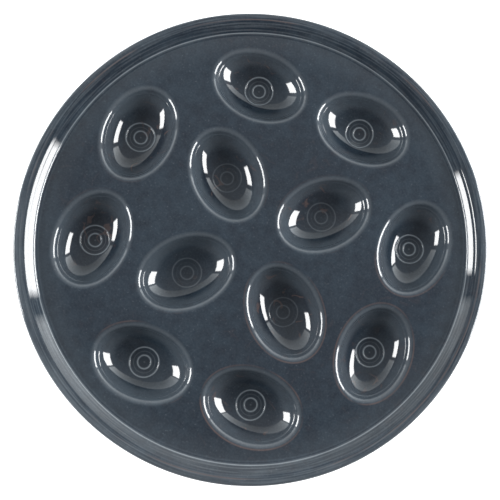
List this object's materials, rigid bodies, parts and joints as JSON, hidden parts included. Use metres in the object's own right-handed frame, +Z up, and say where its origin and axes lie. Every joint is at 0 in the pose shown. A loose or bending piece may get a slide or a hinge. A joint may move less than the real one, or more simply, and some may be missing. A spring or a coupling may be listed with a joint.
{
  "type": "deviled egg plate",
  "caption": "Round glazed stoneware serving plate with oval wells that each hold half an egg, a low raised rim and a dry foot ring.",
  "frame": {"origin": "centre of the plate, on the plane that the foot ring stands on", "axes": "+Z up out of the wells; the rows of outer wells run along X and Y, and the inner wells lie on the diagonals"},
  "size_m": [0.2864, 0.2864, 0.0293],
  "materials": {
    "stoneware_body": "unglazed, matt",
    "upper_glaze": "high gloss",
    "underside_glaze": "high gloss"
  },
  "bodies": {
    "root": {"stoneware_body": "stoneware_body", "upper_glaze": "upper_glaze", "underside_glaze": "underside_glaze"}
  },
  "joints": []
}
